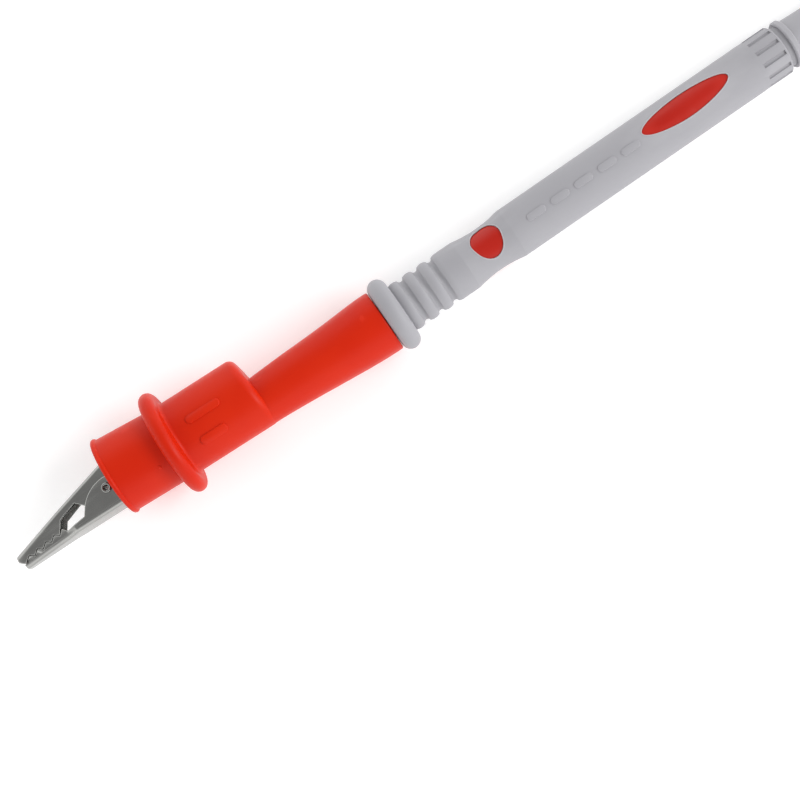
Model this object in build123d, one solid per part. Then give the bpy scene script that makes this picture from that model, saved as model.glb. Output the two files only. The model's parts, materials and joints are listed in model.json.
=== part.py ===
from build123d import *
import math
import os

# A test probe handle with an insulated alligator clip slipped over its tip, drawn closed and
# plugged together. Sizes are in millimetres. X runs along the lead from the jaw tips, near
# X = 0, to the cable end, +Y is the side of the thumb lever, and +Z is parallel to the jaw pivot.
# Handle, pin and contacts are drawn about the probe's own axis. The jaws and the boot's chamber
# are drawn in the clip's frame, which leans a little towards the thumb's side. At the end the
# whole lead moves so that its origin lies under the middle of it.

# Stations along the lead
MOUTH_X = 22.4
FLANGE_X = 35.3
CHAMBER_END_X = 53.8
NECK_END_X = 80.7
GUARD_X = 80.8
WAIST_X = 103.8
BODY_END_X = 168.8
COLLAR_X = 170.0
TAIL_X = 171.3
LEAD_END_X = 193.0

# Lean of the jaws and chamber against the probe's axis, about a point on that axis
CLIP_LEAN = 2.0
LEAN_X = 66.8

# Boot. LEAN_STEP keeps surfaces of different lean from almost coinciding at the flange.
CHAMBER_OFFSET = 2.6
CHAMBER_RADIUS = 7.35
MOUTH_RADIUS = 7.65
LIP_HEIGHT = 0.34
LIP_WIDTH = 0.95
FRONT_LEAN = 2.6
FLANGE_RADIUS = 10.6
FLANGE_THICKNESS = 3.0
FLANGE_ROOT = 0.7
BOOT_WALL = 1.05
LEAN_STEP = 0.25
OVAL = 0.89
BACK_FACE_SLANT = 8.5
BACK_FACE_ROUNDING = 1.6

# Jaws
SHEET = 0.6
JAW_TIP_X = -0.45
LOWER_TIP_X = 0.3
TIP_HALF_WIDTH = 1.65
JAW_HALF_WIDTH = 2.65
EAR_HALF_WIDTH = 3.35
JAW_BEND = 0.85
PIVOT_X = 20.97
PIVOT_Y = 1.5
JAW_BOTTOM_Y = -2.65
TIP_BOTTOM_Y = -3.1
NOSE_TOP_Y = 0.05
ROOF_SLOPE = 16.0
LEVER_TOP_Y = 6.6
LEVER_END_X = 41.0
TOOTH_PITCH = 2.02
TOOTH_HEIGHT = 0.85
TOOTH_COUNT = 4
TOOTH_GAP = 0.12
RIVET_RADIUS = 0.8
RIVET_HOLE_RADIUS = 0.5
RIVET_HEAD_RADIUS = 0.98
RIVET_HEAD_HEIGHT = 0.35
SPRING_WIRE = 0.5
SPRING_RADIUS = 1.75

# Slip-on contact
PIN_RADIUS = 1.0
PIN_TIP_X = 48.0
SHANK_RADIUS = 1.28
SHANK_END_X = 97.0
RUNNING_GAP = 0.05
SLEEVE_RADIUS = 1.5
BARREL_RADIUS = 1.95
BARREL_X = 45.2
BARREL_END_X = 64.0

# Handle
GUARD_RADIUS = 7.4
GUARD_THICKNESS = 3.75
BODY_RADIUS = 4.97
WAIST_RADIUS = 4.42
WAIST_REACH = 5.2
REAR_RADIUS = 4.92
CORE_RADIUS = 3.6
NOSE_RADIUS = 3.5
NOSE_X = 65.8
RIB_COUNT = 3
RIB_PITCH = 3.18
RIB_GROOVE = 1.2
RIB_DEPTH = 0.5
RIB_CROWN = 0.25
BODY_SHOULDER = 0.9
GRIP_ROLL = -5.8
FRONT_WINDOW_X = 104.15
REAR_WINDOW_X = 147.85
INLAY_RECESS = 0.18
INLAY_GAP = 0.06
FLUTE_COUNT = 12
FLUTE_LENGTH = 5.2
FLUTE_RIM = 0.45
FLUTE_RADIUS = 0.42
PLUG_X = 160.2
CABLE_RADIUS = 2.0
CABLE_BORE_RADIUS = 2.4
TAIL_RADIUS = 4.27

EDGE = 0.25
BIG = 40.0

CLIP_FRAME = Pos(LEAN_X, 0, 0) * Rot(0, 0, -CLIP_LEAN) * Pos(-LEAN_X, 0, 0)
CHAMBER_FRAME = CLIP_FRAME * Pos(0, CHAMBER_OFFSET, 0)
FRONT_FRAME = CHAMBER_FRAME * Pos(FLANGE_X, 0, 0) * Rot(0, 0, -FRONT_LEAN) * Pos(-FLANGE_X, 0, 0)
GRIP_FRAME = Rot(GRIP_ROLL, 0, 0)


def turned(*edges):
    """A body turned about the X axis from a closed outline in the XY plane."""
    return revolve(make_face(Curve() + list(edges)), Axis.X)


def turned_outline(points):
    """A body turned about the X axis from corner points (station, radius)."""
    return turned(Polyline(*points, close=True))


def rod(start, end, radius, y=0.0):
    """A round bar along X."""
    return Pos(start, y, 0) * (Rot(0, 90, 0) * extrude(Circle(radius), end - start))


def cross_rod(x, y, radius, half_length):
    """A round bar along Z, centred on the jaws' middle plane."""
    return Pos(x, y, -half_length) * extrude(Circle(radius), 2 * half_length)


def plate(points, low_z, high_z):
    """A flat outline in the XY plane given a thickness along Z."""
    return Pos(0, 0, low_z) * extrude(make_face(Polyline(*points, close=True)), high_z - low_z)


def both_faces(half):
    """The same shape above and below the middle plane."""
    return half + mirror(half, Plane.XY)


def half_space(x, slant=0.0, ahead=True):
    """Everything ahead of a station, or behind it, with the cut face slanted about Z."""
    reach = -BIG / 2 if ahead else BIG / 2
    return Pos(x, 0, 0) * Rot(0, 0, slant) * Pos(reach, 0, 0) * Box(BIG, BIG, BIG)


# --- Handle -----------------------------------------------------------------------------


def rib_outline(start):
    """Rounded ribs and the grooves behind them, as edges of the handle's outline."""
    land_edge = BODY_RADIUS - RIB_CROWN
    edges = []
    for number in range(RIB_COUNT):
        left = start + number * RIB_PITCH
        right = left + RIB_PITCH
        groove = right - RIB_GROOVE
        crown = ((left + groove) / 2, BODY_RADIUS)
        hollow = ((groove + right) / 2, land_edge - RIB_DEPTH)
        edges.append(ThreePointArc((left, land_edge), crown, (groove, land_edge)))
        edges.append(ThreePointArc((groove, land_edge), hollow, (right, land_edge)))
    return edges


def grip_skin(recess=0.0):
    """The handle's outer shape behind the ribs, as a solid shrunk by recess."""
    start = GUARD_X + GUARD_THICKNESS + RIB_COUNT * RIB_PITCH
    front_of_waist = WAIST_X - WAIST_REACH
    end_of_waist = WAIST_X + WAIST_REACH
    body = BODY_RADIUS - recess
    rear = REAR_RADIUS - recess
    waist = (WAIST_X, WAIST_RADIUS - recess)
    shoulder = (start, body - RIB_CROWN)
    shoulder_top = (start + BODY_SHOULDER, body)
    return turned(
        Line((start, 0), shoulder),
        TangentArc(shoulder_top, shoulder, tangent=(-1, 0)),
        Line(shoulder_top, (front_of_waist, body)),
        ThreePointArc((front_of_waist, body), waist, (end_of_waist, body)),
        Line((end_of_waist, body), (BODY_END_X - EDGE, rear)),
        Line((BODY_END_X - EDGE, rear), (BODY_END_X, rear - EDGE)),
        Line((BODY_END_X, rear - EDGE), (BODY_END_X, 0)),
        Line((BODY_END_X, 0), (start, 0)),
    )


def front_window(gap=0.0):
    """A rounded shield on the waist, wider towards +Y."""
    right = [(1.6, 2.78), (2.65, 1.75), (2.97, 0.5), (2.45, -1.5), (1.5, -2.6)]
    left = [(-x, y) for x, y in reversed(right)]
    grow = 1 + gap / 3
    points = [(x * grow, y * grow) for x, y in [(0, 3.05), *right, (0, -3.05), *left]]
    return Pos(FRONT_WINDOW_X, 0, 0) * extrude(make_face(Spline(*points, periodic=True)), 8)


def rear_window(gap=0.0):
    """A long ellipse on the barrel."""
    return Pos(REAR_WINDOW_X, 0, 0) * extrude(Ellipse(9.35 + gap, 2.33 + gap), 8)


def grip_sleeve():
    """Soft grey overmould: finger guard, ribs, waist, windows and rear flutes."""
    guard_end = GUARD_X + GUARD_THICKNESS
    rim = GUARD_THICKNESS / 2
    ribs_end = guard_end + RIB_COUNT * RIB_PITCH
    land_edge = BODY_RADIUS - RIB_CROWN
    shoulder = GUARD_RADIUS - rim
    front = turned(
        Line((GUARD_X, 0), (GUARD_X, shoulder)),
        ThreePointArc((GUARD_X, shoulder), (GUARD_X + rim, GUARD_RADIUS), (guard_end, shoulder)),
        Line((guard_end, shoulder), (guard_end, land_edge)),
        *rib_outline(guard_end),
        Line((ribs_end, land_edge), (ribs_end, 0)),
        Line((ribs_end, 0), (GUARD_X, 0)),
    )
    sleeve = front + grip_skin() - rod(GUARD_X - 1, BODY_END_X + 1, CORE_RADIUS)
    sleeve -= GRIP_FRAME * both_faces(front_window(INLAY_GAP) + rear_window(INLAY_GAP))
    flute = rod(BODY_END_X - FLUTE_LENGTH, BODY_END_X - FLUTE_RIM, FLUTE_RADIUS, y=REAR_RADIUS + 0.02)
    for number in range(FLUTE_COUNT):
        sleeve -= GRIP_FRAME * Rot(360 / FLUTE_COUNT * number, 0, 0) * flute
    return sleeve


def inlay(window):
    """A coloured inlay for the top face: the window's outline, a little below the grip's skin."""
    return window & (grip_skin(INLAY_RECESS) - rod(GUARD_X, BODY_END_X, CORE_RADIUS))


def handle_core():
    """Hard coloured core: the nose that carries the clip, and the tube inside the grip."""
    body = rod(NOSE_X, 80.0, NOSE_RADIUS) + rod(80.0, 160.0, CORE_RADIUS)
    nose_edge = body.faces().sort_by(Axis.X)[0].edges()
    body = fillet(nose_edge, 0.8)
    pin_bore = rod(NOSE_X - 1, 96.0, SHANK_RADIUS + 0.02)
    return body - pin_bore - rod(94.0, 161.0, CABLE_BORE_RADIUS)


def probe_pin():
    """Nickel-plated contact pin with a rounded tip and a thicker shank that takes the crimp."""
    tip = 0.7
    softness = tip * (1 - math.sqrt(0.5))
    step = NOSE_X + 0.5
    return turned(
        Line((PIN_TIP_X, 0), (PIN_TIP_X, PIN_RADIUS - tip)),
        ThreePointArc(
            (PIN_TIP_X, PIN_RADIUS - tip),
            (PIN_TIP_X + softness, PIN_RADIUS - softness),
            (PIN_TIP_X + tip, PIN_RADIUS),
        ),
        Line((PIN_TIP_X + tip, PIN_RADIUS), (step, PIN_RADIUS)),
        Line((step, PIN_RADIUS), (step, SHANK_RADIUS)),
        Line((step, SHANK_RADIUS), (SHANK_END_X, SHANK_RADIUS)),
        Line((SHANK_END_X, SHANK_RADIUS), (SHANK_END_X, 0)),
        Line((SHANK_END_X, 0), (PIN_TIP_X, 0)),
    )


def crimp_barrel():
    """Brass tube pressed on the pin's rear end, open behind for the conductor."""
    return rod(94.4, 103.0, 2.2) - rod(94.0, 104.0, SHANK_RADIUS + 0.02)


def strain_relief():
    """Cable boot: a plug in the handle's rear end, a groove, a collar and the tail."""
    plug = CORE_RADIUS - 0.02
    groove = 4.1
    collar = REAR_RADIUS - 0.1
    return turned_outline(
        [
            (PLUG_X, CABLE_RADIUS),
            (PLUG_X, plug),
            (BODY_END_X, plug),
            (BODY_END_X, groove),
            (COLLAR_X, groove),
            (COLLAR_X, collar - EDGE),
            (COLLAR_X + EDGE, collar),
            (TAIL_X - EDGE, collar),
            (TAIL_X, collar - EDGE),
            (TAIL_X, TAIL_RADIUS),
            (LEAD_END_X - 0.6, TAIL_RADIUS - 0.9),
            (LEAD_END_X, TAIL_RADIUS - 1.5),
            (LEAD_END_X, CABLE_RADIUS),
        ]
    )


# --- Clip: boot -------------------------------------------------------------------------


def oval(turned_body):
    """A turned body made a little narrower along Z."""
    return scale(turned_body, by=(1, 1, OVAL))


def boot_chamber():
    """Outside of the chamber: the hand guard with soft roots, and the slanted back."""
    rim = FLANGE_THICKNESS / 2
    front = FLANGE_X - rim
    back = FLANGE_X + rim
    shoulder = FLANGE_RADIUS - rim
    root = CHAMBER_RADIUS + FLANGE_ROOT
    softness = FLANGE_ROOT * (1 - math.sqrt(0.5))
    front_root = FLANGE_ROOT + LEAN_STEP
    front_softness = front_root * (1 - math.sqrt(0.5))
    foot = root - front_root
    end = CHAMBER_END_X + 4
    chamber = turned(
        Line((front - front_root, 0), (front - front_root, foot)),
        ThreePointArc(
            (front - front_root, foot),
            (front - front_softness, foot + front_softness),
            (front, root),
        ),
        Line((front, root), (front, shoulder)),
        ThreePointArc((front, shoulder), (FLANGE_X, FLANGE_RADIUS), (back, shoulder)),
        Line((back, shoulder), (back, root)),
        ThreePointArc(
            (back, root),
            (back + softness, CHAMBER_RADIUS + softness),
            (back + FLANGE_ROOT, CHAMBER_RADIUS),
        ),
        Line((back + FLANGE_ROOT, CHAMBER_RADIUS), (end, CHAMBER_RADIUS)),
        Line((end, CHAMBER_RADIUS), (end, 0)),
        Line((end, 0), (front - front_root, 0)),
    )
    chamber = oval(chamber) - half_space(CHAMBER_END_X, BACK_FACE_SLANT, ahead=False)
    back_edge = chamber.faces().sort_by(Axis.X)[-1].edges()
    return fillet(back_edge, BACK_FACE_ROUNDING)


def boot_front():
    """Outside of the boot ahead of the hand guard: it flares a little to a lipped mouth."""
    flare = oval(
        turned_outline(
            [
                (MOUTH_X - 1, 0),
                (MOUTH_X - 1, MOUTH_RADIUS),
                (MOUTH_X, MOUTH_RADIUS),
                (FLANGE_X, CHAMBER_RADIUS),
                (FLANGE_X, 0),
            ]
        )
    )
    mouth = Pos(MOUTH_X, 0, 0) * Rot(0, 0, FRONT_LEAN)
    front = MOUTH_RADIUS + LIP_HEIGHT / 3
    back = MOUTH_RADIUS - LEAN_STEP
    crown = (LIP_WIDTH * 0.4, MOUTH_RADIUS + LIP_HEIGHT)
    lip = turned(
        Line((0, MOUTH_RADIUS - 0.4), (0, front)),
        ThreePointArc((0, front), crown, (LIP_WIDTH, back)),
        Line((LIP_WIDTH, back), (LIP_WIDTH, MOUTH_RADIUS - 0.4)),
        Line((LIP_WIDTH, MOUTH_RADIUS - 0.4), (0, MOUTH_RADIUS - 0.4)),
    )
    return flare - mouth * half_space(0) + mouth * oval(lip)


def boot_neck():
    """Outside of the neck, which shifts from the chamber's lean to the probe's own axis."""
    stations = [(50.0, 0.62, 4.75), (56.2, 0.57, 4.92), (61.8, 0.45, 5.22), (67.3, 0.25, 5.52)]
    stations += [(72.9, 0.1, 5.88), (NECK_END_X, 0.0, 6.15)]
    rings = [Plane(origin=(x, y, 0), z_dir=(1, 0, 0)) * Circle(r) for x, y, r in stations]
    neck = loft(Sketch() + rings)
    return fillet(neck.faces().sort_by(Axis.X)[-1].edges(), 0.35)


def boot():
    """Soft insulating boot over the jaws, with a hand guard and a neck."""
    inner_mouth = MOUTH_RADIUS - BOOT_WALL + 0.1
    inner = CHAMBER_RADIUS - BOOT_WALL
    end = 50.4
    front_cavity = [
        (MOUTH_X - 2, 0),
        (MOUTH_X - 2, inner_mouth),
        (MOUTH_X, inner_mouth),
        (FLANGE_X, inner + LEAN_STEP),
        (FLANGE_X, 0),
    ]
    chamber_cavity = [(FLANGE_X - 1, 0), (FLANGE_X - 1, inner), (48.8, inner), (end, inner - 2), (end, 0)]
    outside = CHAMBER_FRAME * boot_chamber() + FRONT_FRAME * boot_front() + boot_neck()
    outside -= CHAMBER_FRAME * oval(turned_outline(chamber_cavity))
    outside -= FRONT_FRAME * oval(turned_outline(front_cavity))
    ferrule_room = rod(44.0, 52.0, 2.75)
    barrel_bore = rod(51.0, NECK_END_X, BARREL_RADIUS + 0.1)
    nose_bore = rod(BARREL_END_X + 0.8, NECK_END_X + 1, CORE_RADIUS)
    return outside - ferrule_room - barrel_bore - nose_bore


# --- Clip: jaws -------------------------------------------------------------------------


def raised(half_widths, low_y, high_y):
    """A plan outline, (station, half width) on each side of the middle, raised along Y."""
    points = half_widths + [(x, -w) for x, w in reversed(half_widths)]
    face = make_face(Polyline(*[(x, low_y, z) for x, z in points], close=True))
    return extrude(face, amount=high_y - low_y, dir=(0, 1, 0))


def shaped(half_widths, side):
    """The body that has this plan outline and this side outline."""
    return raised(half_widths, -8, 10) & plate(side, -BIG / 2, BIG / 2)


def narrowed(half_widths):
    """The plan outline of a channel's inside."""
    return [(x, w - SHEET) for x, w in half_widths]


def lengthwise(edges):
    """The edges that run along the jaw rather than across it."""
    return [edge for edge in edges if abs(edge.tangent_at(0.5).X) > 0.5]


def tooth_line(gap):
    """Zigzag between the jaws, from the nose to the last tooth, moved up by gap."""
    start_x, start_y = 0.85, -1.68
    slope = math.tan(math.radians(6.0))
    points = []
    for number in range(2 * TOOTH_COUNT + 1):
        x = start_x + number * TOOTH_PITCH / 2
        middle = start_y + slope * (x - start_x)
        lift = TOOTH_HEIGHT / 2 if number % 2 else -TOOTH_HEIGHT / 2
        points.append((x, middle + lift + gap))
    return points


def lower_jaw():
    """Fixed jaw: a channel with teeth, half of the wire notch, ears and a ferrule behind."""
    widths = [
        (LOWER_TIP_X, TIP_HALF_WIDTH),
        (10.3, JAW_HALF_WIDTH - 0.06),
        (12.3, EAR_HALF_WIDTH),
        (25.0, EAR_HALF_WIDTH),
        (30.0, 2.5),
        (39.0, 2.3),
    ]
    level_x = 12.3
    bottom = [(LOWER_TIP_X, TIP_BOTTOM_Y), (level_x, JAW_BOTTOM_Y), (39.0, JAW_BOTTOM_Y)]
    blank = shaped(widths, [*bottom, (39.0, 5), (LOWER_TIP_X, 5)])
    folds = [edge for edge in lengthwise(blank.edges()) if edge.center().Y < JAW_BOTTOM_Y + 0.1]
    blank = fillet(folds, JAW_BEND)
    floor = [(x, y + SHEET) for x, y in bottom]
    inside = [(LOWER_TIP_X - 1, floor[0][1]), *floor[1:], (40.0, floor[-1][1]), (40.0, 6), (-1, 6)]
    blank -= shaped([(-1, TIP_HALF_WIDTH - SHEET), *narrowed(widths), (41.0, 1.6)], inside)
    side = (
        Polyline(
            (LOWER_TIP_X, -2.85),
            (LOWER_TIP_X, -2.2),
            *tooth_line(0),
            (9.8, -0.3),
            (10.6, -1.3),
            (14.7, -0.8),
            (15.9, 1.0),
        )
        + ThreePointArc((15.9, 1.0), (17.9, 2.65), (21.1, 3.6))
        + ThreePointArc((21.1, 3.6), (23.3, 2.8), (24.6, 0.6))
        + Polyline(
            (24.6, 0.6), (27.0, -1.2), (39.0, -1.6), (39.0, -4), (0.6, -4), (LOWER_TIP_X, -2.85)
        )
    )
    jaw = blank & (Pos(0, 0, -BIG / 2) * extrude(make_face(side), BIG))
    jaw -= cross_rod(PIVOT_X, PIVOT_Y, RIVET_RADIUS, BIG)
    return CLIP_FRAME * (jaw + jaw_tongue(floor[-1][1])) + ferrule() - ferrule_bore()


def jaw_tongue(floor):
    """The strip that joins the fixed jaw's floor to the ferrule, one step lower."""
    drop = 0.55
    top = [(38.0, floor), (41.0, floor), (44.5, floor - drop), (47.5, floor - drop)]
    under = [(x, y - SHEET) for x, y in reversed(top)]
    return plate(top + under, -1.5, 1.5)


def ferrule():
    """The split ring that the fixed jaw is rolled into round the barrel."""
    return rod(46.4, 51.6, BARREL_RADIUS + SHEET) - Pos(49, 2.5, 0) * Box(7, 3, 1.2)


def ferrule_bore():
    """Room for the barrel through the ferrule and the tongue."""
    return rod(44, 52, BARREL_RADIUS + 0.02)


def upper_jaw():
    """Moving jaw: an inverted channel with teeth, the wire notch, and the thumb lever behind."""
    slope = math.tan(math.radians(ROOF_SLOPE))
    drop = SHEET / math.cos(math.radians(ROOF_SLOPE))
    bend_x = (LEVER_TOP_Y - NOSE_TOP_Y) / slope
    nose_y = NOSE_TOP_Y + JAW_TIP_X * slope
    widths = [(JAW_TIP_X, TIP_HALF_WIDTH), (10.8, JAW_HALF_WIDTH), (LEVER_END_X, JAW_HALF_WIDTH)]
    roof = [(JAW_TIP_X, nose_y), (bend_x, LEVER_TOP_Y), (LEVER_END_X, LEVER_TOP_Y)]
    blank = shaped(widths, [*roof, (LEVER_END_X, -5), (JAW_TIP_X, -5)])
    folds = [edge for edge in lengthwise(blank.edges()) if edge.center().Y > 0]
    blank = fillet(folds, JAW_BEND)
    inside_x = JAW_TIP_X + SHEET
    inside = [
        (inside_x, NOSE_TOP_Y + inside_x * slope - drop),
        (bend_x, LEVER_TOP_Y - drop),
        (LEVER_END_X + 1, LEVER_TOP_Y - SHEET),
        (LEVER_END_X + 1, -6),
        (inside_x, -6),
    ]
    blank -= shaped([*narrowed(widths), (LEVER_END_X + 1, JAW_HALF_WIDTH - SHEET)], inside)
    side = [
        (JAW_TIP_X, -1.3),
        (LOWER_TIP_X, -2.0),
        *tooth_line(TOOTH_GAP),
        (10.35, 1.15),
        (14.15, 2.5),
        (16.0, 0.6),
        (17.8, -0.9),
        (23.2, -0.9),
        (27.0, 3.2),
        (LEVER_END_X, LEVER_TOP_Y - 1.1),
        (LEVER_END_X, 9),
        (JAW_TIP_X, 9),
    ]
    jaw = blank & plate(side, -BIG / 2, BIG / 2)
    return CLIP_FRAME * (jaw - cross_rod(PIVOT_X, PIVOT_Y, RIVET_RADIUS + RUNNING_GAP, BIG))


def pivot_rivet():
    """Tubular rivet through both jaws, rolled over at each end."""
    outside = EAR_HALF_WIDTH + RIVET_HEAD_HEIGHT
    shank = cross_rod(PIVOT_X, PIVOT_Y, RIVET_RADIUS, outside)
    head = Pos(PIVOT_X, PIVOT_Y, EAR_HALF_WIDTH) * extrude(Circle(RIVET_HEAD_RADIUS), RIVET_HEAD_HEIGHT)
    rivet = shank + both_faces(head) - cross_rod(PIVOT_X, PIVOT_Y, RIVET_HOLE_RADIUS, BIG)
    return CLIP_FRAME * rivet


def torsion_spring():
    """Closing spring: the coil's envelope round the rivet, with one arm up and one down."""
    coil = cross_rod(PIVOT_X, PIVOT_Y, SPRING_RADIUS, 1.8)
    coil -= cross_rod(PIVOT_X, PIVOT_Y, SPRING_RADIUS - SPRING_WIRE, BIG)
    under = PIVOT_Y - SPRING_RADIUS
    over = PIVOT_Y + SPRING_RADIUS
    low_arm = [(PIVOT_X, under), (PIVOT_X, under + SPRING_WIRE), (34.0, -1.4), (34.0, -1.9)]
    high_arm = [(PIVOT_X, over - SPRING_WIRE), (PIVOT_X, over), (36.0, 5.9), (36.0, 5.4)]
    coil += plate(low_arm, 1.2, 1.2 + SPRING_WIRE)
    coil += plate(high_arm, -1.2 - SPRING_WIRE, -1.2)
    return CLIP_FRAME * coil


def socket_barrel():
    """Plated tube in the boot's neck, held in the lower jaw's ferrule."""
    inside = SLEEVE_RADIUS + RUNNING_GAP
    return rod(BARREL_X, BARREL_END_X, BARREL_RADIUS) - rod(BARREL_X + 0.8, BARREL_END_X + 1, inside)


def contact_sleeve():
    """Spring contact tube that grips the pin and turns inside the barrel."""
    tube = rod(BARREL_X + 1.4, BARREL_END_X - 0.4, SLEEVE_RADIUS)
    return tube - rod(BARREL_X, BARREL_END_X, PIN_RADIUS + RUNNING_GAP)


def main():
    front_inlay = inlay(front_window())
    rear_inlay = inlay(rear_window())
    pieces = {
        "grip_sleeve": grip_sleeve(),
        "handle_core": handle_core(),
        "probe_pin": probe_pin(),
        "crimp_barrel": crimp_barrel(),
        "strain_relief": strain_relief(),
        "front_inlay_top": GRIP_FRAME * front_inlay,
        "front_inlay_bottom": GRIP_FRAME * mirror(front_inlay, Plane.XY),
        "rear_inlay_top": GRIP_FRAME * rear_inlay,
        "rear_inlay_bottom": GRIP_FRAME * mirror(rear_inlay, Plane.XY),
        "boot": boot(),
        "lower_jaw": lower_jaw(),
        "pivot_rivet": pivot_rivet(),
        "torsion_spring": torsion_spring(),
        "socket_barrel": socket_barrel(),
        "contact_sleeve": contact_sleeve(),
        "upper_jaw": upper_jaw(),
    }
    whole = Compound(children=[Compound(piece.solids()) for piece in pieces.values()]).bounding_box()
    row_frame = Pos(-whole.center().X, -whole.center().Y, -whole.min.Z)
    os.makedirs("parts", exist_ok=True)
    for node, piece in pieces.items():
        placed = row_frame * piece
        placed.label = node
        export_step(placed, f"parts/{node}.step")
    pivot = (row_frame * CLIP_FRAME * Pos(PIVOT_X, PIVOT_Y, 0)).position
    print("probe axis", row_frame.position, "jaw pivot", pivot)


main()
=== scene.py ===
import json
import math

import bmesh
import bpy
from mathutils import Matrix, Vector


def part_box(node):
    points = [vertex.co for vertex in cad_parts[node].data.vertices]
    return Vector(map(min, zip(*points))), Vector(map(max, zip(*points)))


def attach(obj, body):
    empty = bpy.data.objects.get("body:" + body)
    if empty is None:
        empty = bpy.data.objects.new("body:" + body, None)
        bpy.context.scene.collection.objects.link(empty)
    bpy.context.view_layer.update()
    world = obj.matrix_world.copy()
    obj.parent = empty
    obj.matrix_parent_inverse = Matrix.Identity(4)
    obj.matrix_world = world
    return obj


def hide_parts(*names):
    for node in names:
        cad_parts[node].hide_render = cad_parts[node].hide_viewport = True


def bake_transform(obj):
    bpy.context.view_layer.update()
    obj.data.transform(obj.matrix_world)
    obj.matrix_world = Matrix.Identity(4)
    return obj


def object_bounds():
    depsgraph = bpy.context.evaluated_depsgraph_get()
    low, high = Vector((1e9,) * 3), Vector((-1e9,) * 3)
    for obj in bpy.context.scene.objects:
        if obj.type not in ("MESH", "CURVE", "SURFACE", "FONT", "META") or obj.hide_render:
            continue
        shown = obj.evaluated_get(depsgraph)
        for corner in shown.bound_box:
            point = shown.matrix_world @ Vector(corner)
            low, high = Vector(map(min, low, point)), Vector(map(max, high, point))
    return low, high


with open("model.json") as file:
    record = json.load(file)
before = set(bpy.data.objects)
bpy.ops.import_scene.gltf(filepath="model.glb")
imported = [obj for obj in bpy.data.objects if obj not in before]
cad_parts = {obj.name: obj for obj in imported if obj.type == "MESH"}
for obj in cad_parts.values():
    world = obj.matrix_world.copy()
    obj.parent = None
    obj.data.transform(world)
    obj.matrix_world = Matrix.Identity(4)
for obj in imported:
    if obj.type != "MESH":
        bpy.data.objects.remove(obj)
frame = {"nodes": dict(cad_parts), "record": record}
CAD_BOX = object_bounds()
NODES = frame["nodes"]

MM = 0.001

# Stations and sizes in millimetres, named as in the CAD part, with its angles in radians
FLANGE_X = 35.3
BODY_END_X = 168.8
LEAD_END_X = 193.0
CLIP_LEAN = math.radians(2.0)
LEAN_X = 66.8
FRONT_LEAN = math.radians(2.6)
CHAMBER_OFFSET = 2.6
CHAMBER_RADIUS = 7.35
MOUTH_X = 22.4
MOUTH_RADIUS = 7.65
OVAL = 0.89
EAR_HALF_WIDTH = 3.35
RIVET_RADIUS = 0.8
RIVET_HOLE_RADIUS = 0.5
RIVET_HEAD_RADIUS = 0.98
SPRING_WIRE = 0.5
SPRING_RADIUS = 1.75
BODY_RADIUS = 4.97
REAR_RADIUS = 4.92
WAIST_X = 103.8
WAIST_RADIUS = 4.42
WAIST_REACH = 5.2
GRIP_ROLL = math.radians(-5.8)
FRONT_WINDOW_X = 104.15
REAR_WINDOW_X = 147.85

# More of the CAD part's sizes, which have no name there
REAR_WINDOW_HALF_LENGTH = 9.35
REAR_WINDOW_HALF_WIDTH = 2.33

# Sizes that only this scene has, in millimetres. Each bar of a row is (station, y, length)
AXIS_ABOVE_TABLE = 3.3
DEBURRED_EDGE = 0.2
COIL_HALF_LENGTH = 1.45
WINDOW_LIP = 0.11
CHAMBER_BARS = ((43.8, 3.2, 7.2), (43.3, -1.3, 5.6))
BARREL_BARS = tuple((114.4 + number * 5.2, -1.0, 4.0) for number in range(5))
NIB_PLACE = (31.9, -3.9)

# The probe's own axis in the row frame
CORE_LOW, CORE_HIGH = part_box("handle_core")
TAIL_LOW, TAIL_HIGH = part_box("strain_relief")
AXIS_START = Vector((
    TAIL_HIGH.x - LEAD_END_X * MM,
    (CORE_LOW.y + CORE_HIGH.y) / 2,
    (CORE_LOW.z + CORE_HIGH.z) / 2,
))


def on_probe(station, y=0.0, z=0.0):
    """A point of the row frame, in metres, from millimetres about the probe's axis."""
    return AXIS_START + Vector((station, y, z)) * MM


def on_clip(station, y=0.0, z=0.0):
    """The same for the clip's frame, which leans against the probe's axis."""
    along = station - LEAN_X
    x = LEAN_X + along * math.cos(CLIP_LEAN) + y * math.sin(CLIP_LEAN)
    side = -along * math.sin(CLIP_LEAN) + y * math.cos(CLIP_LEAN)
    return on_probe(x, side, z)


def on_front(station, y=0.0, z=0.0):
    """The same for the boot's front, which leans a little more about the hand guard's middle."""
    along = station - FLANGE_X
    x = FLANGE_X + along * math.cos(FRONT_LEAN) + y * math.sin(FRONT_LEAN)
    side = -along * math.sin(FRONT_LEAN) + y * math.cos(FRONT_LEAN)
    return on_clip(x, CHAMBER_OFFSET + side, z)


def on_grip(station, y=0.0, z=0.0):
    """The same for the windows and inlays, which are rolled a little about the probe's axis."""
    return on_probe(
        station,
        y * math.cos(GRIP_ROLL) - z * math.sin(GRIP_ROLL),
        y * math.sin(GRIP_ROLL) + z * math.cos(GRIP_ROLL),
    )


# --- Camera -----------------------------------------------------------------------------

def add_camera():
    data = bpy.data.cameras.new("camera")
    data.lens = 74.25
    data.sensor_width = 36.0
    data.clip_start = 0.01
    data.clip_end = 50.0
    camera = bpy.data.objects.new("camera", data)
    camera.location = (-0.0188, -0.0647, 0.3091)
    camera.rotation_euler = tuple(math.radians(angle) for angle in (7.12, 5.51, -34.12))
    bpy.context.scene.collection.objects.link(camera)
    bpy.context.scene.camera = camera


add_camera()


# --- Materials --------------------------------------------------------------------------

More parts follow.
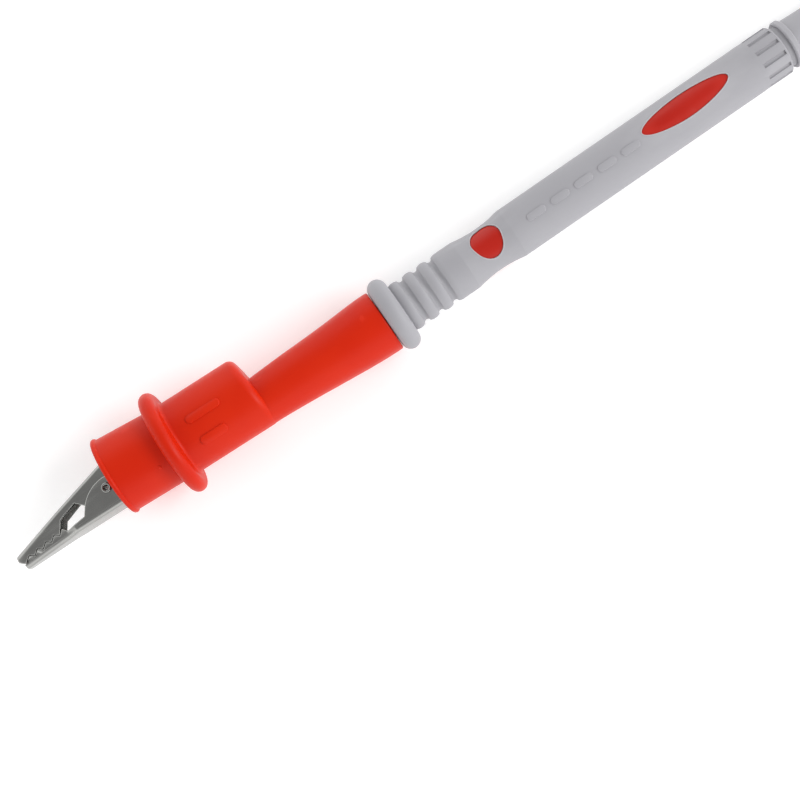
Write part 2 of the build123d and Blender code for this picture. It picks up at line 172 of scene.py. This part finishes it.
class Nodes:
    """Short ways to add and join shader nodes in one material."""

    def __init__(self, name):
        self.material = bpy.data.materials.new(name)
        self.material.use_nodes = True
        self.tree = self.material.node_tree
        self.shader = self.tree.nodes["Principled BSDF"]
        self.place = self.tree.nodes.new("ShaderNodeTexCoord").outputs["Object"]

    def link(self, source, target):
        self.tree.links.new(source, target)

    def stretched(self, scale):
        """The piece's own coordinates, stretched by scale along each axis."""
        mapping = self.tree.nodes.new("ShaderNodeMapping")
        mapping.inputs["Scale"].default_value = scale
        self.link(self.place, mapping.inputs["Vector"])
        return mapping.outputs["Vector"]

    def noise(self, scale, detail=3.0, roughness=0.5, place=None):
        node = self.tree.nodes.new("ShaderNodeTexNoise")
        node.inputs["Scale"].default_value = scale
        node.inputs["Detail"].default_value = detail
        node.inputs["Roughness"].default_value = roughness
        self.link(place or self.place, node.inputs["Vector"])
        return node.outputs["Fac"]

    def cells(self, scale):
        node = self.tree.nodes.new("ShaderNodeTexVoronoi")
        node.feature = "SMOOTH_F1"
        node.inputs["Scale"].default_value = scale
        self.link(self.place, node.inputs["Vector"])
        return node.outputs["Distance"]

    def spread(self, value, low, high, low_in=0.3, high_in=0.7):
        """value's range low_in to high_in becomes low to high."""
        node = self.tree.nodes.new("ShaderNodeMapRange")
        node.inputs["From Min"].default_value = low_in
        node.inputs["From Max"].default_value = high_in
        node.inputs["To Min"].default_value = low
        node.inputs["To Max"].default_value = high
        self.link(value, node.inputs["Value"])
        return node.outputs["Result"]

    def between(self, value, first, second):
        """A colour between first and second, as value goes from 0 to 1."""
        node = self.tree.nodes.new("ShaderNodeMix")
        node.data_type = "RGBA"
        node.clamp_factor = True
        self.link(value, node.inputs[0])
        for socket, colour in ((node.inputs[6], first), (node.inputs[7], second)):
            if isinstance(colour, tuple):
                socket.default_value = (*colour, 1.0)
            else:
                self.link(colour, socket)
        return node.outputs[2]

    def bump(self, height, strength, distance, under=None):
        node = self.tree.nodes.new("ShaderNodeBump")
        node.inputs["Strength"].default_value = strength
        node.inputs["Distance"].default_value = distance
        self.link(height, node.inputs["Height"])
        if under is not None:
            self.link(under, node.inputs["Normal"])
        return node.outputs["Normal"]

    def curvature(self):
        """Above 0.5 on outward edges and below it in hollows."""
        return self.tree.nodes.new("ShaderNodeNewGeometry").outputs["Pointiness"]


def moulded(name, light, dark, roughness, grain=0.5, specular=0.5):
    """Moulded plastic or rubber: cloudy colour, fine moulded grain, and outward edges painted lighter,
    partly as rubbed wear and partly as a painted highlight.
    """
    n = Nodes(name)
    cloud = n.spread(n.noise(55.0, detail=4.0), 0.0, 1.0)
    body = n.between(cloud, dark, light)
    # Outward edges a little lighter: partly rubbed wear, partly a painted highlight of light catching
    # the edges.
    lighter_tone = tuple(min(1.0, channel * 1.06 + 0.006) for channel in light)
    edge = n.spread(n.curvature(), 0.0, 0.7, 0.52, 0.58)
    n.link(n.between(edge, body, lighter_tone), n.shader.inputs["Base Color"])
    rubbed = n.noise(140.0, detail=5.0, roughness=0.6)
    n.link(n.spread(rubbed, roughness - 0.05, roughness + 0.05), n.shader.inputs["Roughness"])
    fine = n.bump(n.noise(9000.0, detail=2.0), grain * 0.5, 0.03 * MM)
    n.link(n.bump(n.cells(1600.0), grain * 0.12, 0.04 * MM, fine), n.shader.inputs["Normal"])
    n.shader.inputs["Specular IOR Level"].default_value = specular
    return n.material


def metal(name, light, dark, roughness):
    """Plated or plain metal: rolling and drawing marks along X, a little stain and fine pits."""
    n = Nodes(name)
    n.shader.inputs["Metallic"].default_value = 1.0
    stain = n.spread(n.noise(120.0, detail=5.0, roughness=0.6), 0.0, 1.0)
    marks = n.noise(1.0, roughness=0.6, place=n.stretched((40.0, 900.0, 900.0)))
    body = n.between(stain, dark, light)
    lighter_tone = tuple(channel * 1.12 for channel in light)
    n.link(n.between(n.spread(marks, 0.0, 0.6, 0.5, 0.75), body, lighter_tone), n.shader.inputs["Base Color"])
    n.link(n.spread(marks, roughness - 0.05, roughness + 0.08), n.shader.inputs["Roughness"])
    pits = n.bump(n.noise(2600.0), 0.10, 0.02 * MM)
    n.link(n.bump(marks, 0.15, 0.02 * MM, pits), n.shader.inputs["Normal"])
    return n.material


RED_PVC = moulded("soft_red_pvc", (0.61, 0.020, 0.0015), (0.55, 0.013, 0.0010), 0.38, specular=0.16)
RED_HARD = moulded("hard_red_plastic", (0.50, 0.013, 0.006), (0.45, 0.010, 0.005), 0.32, grain=0.25)
INLAY_RED = moulded(
    "inlay_red_plastic", (0.45, 0.012, 0.004), (0.40, 0.009, 0.003), 0.36, grain=0.3, specular=0.30
)
GREY_SOFT = moulded("soft_touch_grey", (0.345, 0.340, 0.362), (0.322, 0.318, 0.340), 0.55, grain=0.6)
# A lighter copy of the soft-touch grey for the window lips: the lighter colour is a painted highlight on
# the rims.
GREY_LIP_PAINTED_HIGHLIGHT = moulded("soft_touch_grey_lip_painted_highlight", (0.42, 0.415, 0.430), (0.39, 0.385, 0.400), 0.45, grain=0.4)
NICKEL = metal("nickel_plated_steel", (0.36, 0.36, 0.347), (0.30, 0.30, 0.29), 0.22)
SPRING_STEEL = metal("spring_steel", (0.46, 0.46, 0.45), (0.38, 0.38, 0.37), 0.28)
PLATED_BRASS = metal("nickel_plated_brass", (0.66, 0.64, 0.58), (0.58, 0.56, 0.50), 0.22)
PLAIN_BRASS = metal("plain_brass", (0.72, 0.50, 0.20), (0.62, 0.41, 0.15), 0.30)

NODE_MATERIALS = {
    "grip_sleeve": GREY_SOFT,
    "strain_relief": GREY_SOFT,
    "handle_core": RED_HARD,
    "front_inlay_top": INLAY_RED,
    "front_inlay_bottom": INLAY_RED,
    "rear_inlay_top": INLAY_RED,
    "rear_inlay_bottom": INLAY_RED,
    "boot": RED_PVC,
    "lower_jaw": NICKEL,
    "upper_jaw": NICKEL,
    "pivot_rivet": NICKEL,
    "torsion_spring": SPRING_STEEL,
    "probe_pin": PLATED_BRASS,
    "socket_barrel": PLATED_BRASS,
    "contact_sleeve": PLATED_BRASS,
    "crimp_barrel": PLAIN_BRASS,
}

for node_name, node_material in NODE_MATERIALS.items():
    materials = NODES[node_name].data.materials
    materials.clear()
    materials.append(node_material)


# --- Pieces -----------------------------------------------------------------------------

def add_piece(name, points, faces, material, slot, creased=35.0):
    """A smooth-shaded mesh piece, with sharp edges where faces meet at more than creased degrees."""
    mesh = bpy.data.meshes.new(name)
    mesh.from_pydata([tuple(point) for point in points], [], faces)
    mesh.validate()
    mesh.materials.append(material)
    mesh.shade_smooth()
    mesh.set_sharp_from_angle(angle=math.radians(creased))
    piece = bpy.data.objects.new(name, mesh)
    bpy.context.scene.collection.objects.link(piece)
    return piece


def tube(path, radius, sides=14, closed=False):
    """Points and faces of a round wire along a path. Its section doesn't twist on the way."""
    count = len(path)
    points = []
    normal = None
    for number, centre in enumerate(path):
        before = path[number - 1] if number or closed else centre
        after = path[(number + 1) % count] if number < count - 1 or closed else centre
        tangent = (after - before).normalized()
        normal = tangent.orthogonal() if normal is None else normal - tangent * normal.dot(tangent)
        normal.normalize()
        across = tangent.cross(normal)
        for side in range(sides):
            angle = math.tau * side / sides
            points.append(centre + (normal * math.cos(angle) + across * math.sin(angle)) * radius)
    faces = []
    for number in range(count if closed else count - 1):
        here = number * sides
        there = (number + 1) % count * sides
        for side in range(sides):
            beside = (side + 1) % sides
            faces.append((here + side, here + beside, there + beside, there + side))
    if not closed:
        faces.append(tuple(reversed(range(sides))))
        faces.append(tuple(range((count - 1) * sides, count * sides)))
    return points, faces


def lathe(centre, profile, sides=48):
    """Points and faces of a closed ring about the Z axis through centre, from (radius, height)."""
    count = len(profile)
    points = []
    for side in range(sides):
        angle = math.tau * side / sides
        for radius, height in profile:
            offset = Vector((radius * math.cos(angle), radius * math.sin(angle), height)) * MM
            points.append(centre + offset)
    faces = []
    for side in range(sides):
        here = side * count
        there = (side + 1) % sides * count
        for step in range(count):
            onward = (step + 1) % count
            faces.append((here + step, there + step, there + onward, here + onward))
    return points, faces


def add_deburred(node, name, body):
    """A jaw's CAD node with its cut edges rounded over, as tumbled sheet has them."""
    tiny = 0.002 * MM
    flat = math.radians(1.0)
    cut = math.radians(50.0)
    creased = math.radians(38.0)
    source = NODES[node]
    mesh = source.data.copy()
    mesh.name = name
    piece = bpy.data.objects.new(name, mesh)
    piece.matrix_world = source.matrix_world
    bpy.context.scene.collection.objects.link(piece)
    shape = bmesh.new()
    shape.from_mesh(mesh)
    bmesh.ops.remove_doubles(shape, verts=shape.verts, dist=tiny)
    bmesh.ops.dissolve_limit(shape, angle_limit=flat, verts=shape.verts, edges=shape.edges)
    cut_edges = [edge for edge in shape.edges if edge.is_manifold and edge.calc_face_angle() > cut]
    bmesh.ops.bevel(
        shape,
        geom=cut_edges,
        offset=DEBURRED_EDGE * MM,
        segments=2,
        profile=0.6,
        affect="EDGES",
        clamp_overlap=False,
    )
    bmesh.ops.triangulate(shape, faces=shape.faces)
    shape.to_mesh(mesh)
    shape.free()
    mesh.shade_smooth()
    mesh.set_sharp_from_angle(angle=creased)
    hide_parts(node)
    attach(piece, body)


def jaw_pivot():
    """The middle of the jaws' pivot, from the record."""
    joints = frame["record"]["behaviour"]["joints"]
    hinge = next(joint for joint in joints if joint["name"] == "jaw_hinge")
    return Vector(hinge["pos_m"])


def add_rivet():
    """Tubular rivet with both ends rolled over into a bright ring."""
    roll = (RIVET_HEAD_RADIUS - RIVET_HOLE_RADIUS) / 2
    middle = RIVET_HOLE_RADIUS + roll
    seat = EAR_HALF_WIDTH + 0.01
    steps = 12
    top = []
    for step in range(steps + 1):
        angle = math.pi * step / steps
        height = EAR_HALF_WIDTH + 0.1 + roll * math.sin(angle)
        top.append((middle - roll * math.cos(angle), height))
    top.append((RIVET_HEAD_RADIUS - 0.04, seat))
    top.append((RIVET_RADIUS, seat))
    under = [(radius, -height) for radius, height in reversed(top)]
    rivet = add_piece("rolled_rivet", *lathe(jaw_pivot(), top + under), NICKEL, "plated_steel")
    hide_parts("pivot_rivet")
    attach(rivet, "clip")


def add_spring():
    """Torsion spring: close-wound turns round the rivet, one arm under the lever, one on the floor."""
    pivot = jaw_pivot()
    wire = SPRING_WIRE * MM / 2
    radius = SPRING_RADIUS * MM - wire
    first_angle = math.pi / 2 - CLIP_LEAN
    turns = 5.5
    steps = 200
    path = [on_clip(x, y, -COIL_HALF_LENGTH) for x, y in ((35.6, 5.6), (30.0, 4.75), (24.0, 3.7))]
    for step in range(steps + 1):
        share = step / steps
        angle = first_angle + math.tau * turns * share
        height = COIL_HALF_LENGTH * MM * (2 * share - 1)
        path.append(pivot + Vector((radius * math.cos(angle), radius * math.sin(angle), height)))
    path += [on_clip(x, y, COIL_HALF_LENGTH) for x, y in ((24.0, -0.3), (29.0, -0.95), (33.6, -1.45))]
    spring = add_piece("wound_spring", *tube(path, wire), SPRING_STEEL, "spring_steel")
    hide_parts("torsion_spring")
    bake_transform(spring)


def closed_curve(corners, steps=8):
    """A smooth closed curve through the corners, as a Catmull-Rom spline."""
    count = len(corners)
    curve = []
    for number in range(count):
        a, b, c, d = (Vector(corners[(number + shift) % count]) for shift in (-1, 0, 1, 2))
        for step in range(steps):
            t = step / steps
            curve.append(
                (b * 2 + (c - a) * t + (a * 2 - b * 5 + c * 4 - d) * t ** 2
                 + (b * 3 - a - c * 3 + d) * t ** 3) / 2
            )
    return curve


def front_outline():
    """The rounded shield of the front windows, as in the CAD part."""
    right = [(1.6, 2.78), (2.65, 1.75), (2.97, 0.5), (2.45, -1.5), (1.5, -2.6)]
    left = [(-x, y) for x, y in reversed(right)]
    return closed_curve([(0, 3.05), *right, (0, -3.05), *left])


def rear_outline():
    """The long ellipse of the rear windows."""
    steps = 96
    outline = []
    for step in range(steps):
        angle = math.tau * step / steps
        x = REAR_WINDOW_HALF_LENGTH * math.cos(angle)
        y = REAR_WINDOW_HALF_WIDTH * math.sin(angle)
        outline.append(Vector((x, y)))
    return outline


def grip_radius(station):
    """The handle's outer radius behind the ribs: an arc at the waist, then a slight taper."""
    start = WAIST_X - WAIST_REACH
    end = WAIST_X + WAIST_REACH
    if start < station < end:
        sink = BODY_RADIUS - WAIST_RADIUS
        arc = (WAIST_REACH ** 2 + sink ** 2) / (2 * sink)
        return WAIST_RADIUS + arc - math.sqrt(arc ** 2 - (station - WAIST_X) ** 2)
    if station <= start:
        return BODY_RADIUS
    return BODY_RADIUS + (REAR_RADIUS - BODY_RADIUS) * (station - end) / (BODY_END_X - end)


def on_grip_skin(station, y, sink=0.0):
    """The point of the handle's skin above (station, y), for the upper face."""
    radius = grip_radius(station) - sink
    return on_grip(station, y, math.sqrt(radius ** 2 - y ** 2))


def below(point):
    """The same place on the handle's under face, mirrored in the windows' own middle plane."""
    normal = (on_grip(0.0, 0.0, 1.0) - on_grip(0.0)).normalized()
    return point - normal * 2 * (point - on_grip(0.0)).dot(normal)


def add_window_rims():
    """A thin raised lip of the grey overmould round each of the four windows, coloured a lighter grey as
    a painted highlight.
    """
    gap = WINDOW_LIP + 0.05
    sink = 0.03
    for name, middle, outline in (
        ("front_rim", FRONT_WINDOW_X, front_outline()),
        ("rear_rim", REAR_WINDOW_X, rear_outline()),
    ):
        grown = [corner + corner.normalized() * gap for corner in outline]
        top = [on_grip_skin(middle + corner.x, corner.y, sink) for corner in grown]
        for side, path in (("top", top), ("bottom", [below(point) for point in top])):
            lip = tube(path, WINDOW_LIP * MM, sides=12, closed=True)
            rim = add_piece(f"{name}_{side}", *lip, GREY_LIP_PAINTED_HIGHLIGHT, "grip_grey")
            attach(rim, "probe")


def relief(outline, surface, height, edge=0.16):
    """Points and faces of a low rounded pad on a surface. outline gives (station, y) corners in
    millimetres, and surface gives the row-frame point above them."""
    middle = sum(outline, Vector((0.0, 0.0))) / len(outline)
    nudge = 0.02
    # From the pad's foot to its top: how far in, in edge widths, and how high, as a share of height
    levels = [(0.0, -0.12), (0.0, 0.0), (0.35, 0.62), (0.75, 0.93), (1.2, 1.0)]
    points = []
    for inset, share in levels:
        for corner in outline:
            inward = middle - corner
            reach = min(inset * edge, inward.length * 0.8)
            place = corner + inward.normalized() * reach
            here = surface(place.x, place.y)
            along = surface(place.x + nudge, place.y) - here
            across = surface(place.x, place.y + nudge) - here
            normal = along.cross(across).normalized()
            points.append(here + normal * height * share * MM)
    size = len(outline)
    faces = []
    for ring in range(len(levels) - 1):
        for side in range(size):
            beside = (side + 1) % size
            here, there = ring * size, (ring + 1) * size
            faces.append((here + side, here + beside, there + beside, there + side))
    faces.append(tuple(reversed(range(size))))
    faces.append(tuple(range((len(levels) - 1) * size, len(levels) * size)))
    return points, faces


def pill(x, y, length, width):
    """The outline of a round-ended bar about (x, y)."""
    end = width / 2
    reach = length / 2 - end
    steps = 10
    corners = []
    for side, first in ((1, -90), (-1, 90)):
        for step in range(steps + 1):
            angle = math.radians(first + 180 * step / steps)
            corners.append(Vector((x + side * reach + end * math.cos(angle), y + end * math.sin(angle))))
    return corners


def on_chamber_skin(station, y):
    """The point of the chamber's skin above (station, y) of the clip's frame."""
    height = OVAL * math.sqrt(CHAMBER_RADIUS ** 2 - (y - CHAMBER_OFFSET) ** 2)
    return on_clip(station, y, height)


def on_front_skin(station, y):
    """The point of the skin ahead of the hand guard, for y from the front's own axis."""
    flare = (MOUTH_RADIUS - CHAMBER_RADIUS) * (FLANGE_X - station) / (FLANGE_X - MOUTH_X)
    return on_front(station, y, OVAL * math.sqrt((CHAMBER_RADIUS + flare) ** 2 - y ** 2))


def add_reliefs():
    """Plain raised bars where the real object is lettered, and the boot's small round nib."""
    for number, (x, y, length) in enumerate(CHAMBER_BARS):
        pad = relief(pill(x, y, length, width=1.5), on_chamber_skin, height=0.26)
        bar = add_piece(f"chamber_bar_{number}", *pad, RED_PVC, "boot_red", creased=60.0)
        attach(bar, "clip")
    pad = relief(pill(*NIB_PLACE, length=0.62, width=0.6), on_front_skin, height=0.22, edge=0.2)
    nib = add_piece("boot_nib", *pad, RED_PVC, "boot_red", creased=60.0)
    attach(nib, "clip")
    for number, (x, y, length) in enumerate(BARREL_BARS):
        pad = relief(pill(x, y, length, width=1.4), on_grip_skin, height=0.2)
        bar = add_piece(f"barrel_bar_{number}", *pad, GREY_SOFT, "grip_grey", creased=60.0)
        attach(bar, "probe")


add_deburred("lower_jaw", "fixed_jaw_sheet", "clip")
add_deburred("upper_jaw", "moving_jaw_sheet", "upper_jaw")
add_rivet()
add_spring()
add_window_rims()
add_reliefs()


# --- Stage ------------------------------------------------------------------------------

def add_floor():
    """A pale, faintly lit table. The lead lies on its hand guard in front and on its tail's end behind,
    where the probe's axis is AXIS_ABOVE_TABLE up."""
    front = Vector((on_clip(FLANGE_X).x, 0, CAD_BOX[0].z))
    rear = Vector((TAIL_HIGH.x, 0, AXIS_START.z - AXIS_ABOVE_TABLE * MM))
    tilt = math.atan2(rear.z - front.z, rear.x - front.x)
    mesh = bpy.data.meshes.new("floor")
    half = 3.0
    corners = [(-half, -half, 0), (half, -half, 0), (half, half, 0), (-half, half, 0)]
    mesh.from_pydata(corners, [], [(0, 1, 2, 3)])
    floor = bpy.data.objects.new("floor", mesh)
    floor.matrix_world = Matrix.Translation(front) @ Matrix.Rotation(-tilt, 4, "Y")
    bpy.context.scene.collection.objects.link(floor)
    n = Nodes("pale_floor")
    cloud = n.spread(n.noise(30.0), 0.0, 1.0)
    n.link(n.between(cloud, (0.93, 0.93, 0.93), (0.95, 0.95, 0.95)), n.shader.inputs["Base Color"])
    n.shader.inputs["Roughness"].default_value = 0.9
    n.shader.inputs["Specular IOR Level"].default_value = 0.1
    n.shader.inputs["Emission Color"].default_value = (1.0, 1.0, 1.0, 1.0)
    n.shader.inputs["Emission Strength"].default_value = 0.22
    mesh.materials.append(n.material)


def add_area_light(name, place, size, power):
    data = bpy.data.lights.new(name, "AREA")
    data.shape = "DISK"
    data.size = size
    data.energy = power
    light = bpy.data.objects.new(name, data)
    light.location = place
    light.rotation_euler = (-Vector(place)).to_track_quat("-Z", "Y").to_euler()
    bpy.context.scene.collection.objects.link(light)


def add_light():
    """A light tent, brighter round the horizon than overhead, with a soft key past the tail's end."""
    world = bpy.data.worlds.new("studio")
    world.use_nodes = True
    tree = world.node_tree
    place = tree.nodes.new("ShaderNodeTexCoord")
    split = tree.nodes.new("ShaderNodeSeparateXYZ")
    tent = tree.nodes.new("ShaderNodeMapRange")
    tent.interpolation_type = "SMOOTHSTEP"
    tent.inputs["From Min"].default_value = 0.45
    tent.inputs["From Max"].default_value = 0.85
    tent.inputs["To Min"].default_value = 1.50
    tent.inputs["To Max"].default_value = 0.42
    tree.links.new(place.outputs["Generated"], split.inputs["Vector"])
    tree.links.new(split.outputs["Z"], tent.inputs["Value"])
    background = tree.nodes["Background"]
    background.inputs["Color"].default_value = (1.0, 1.0, 1.0, 1.0)
    tree.links.new(tent.outputs["Result"], background.inputs["Strength"])
    bpy.context.scene.world = world
    add_area_light("key", (0.62, -0.30, 0.60), 0.50, 3.5)
    bpy.context.scene.view_settings.view_transform = "Standard"


add_floor()
add_light()
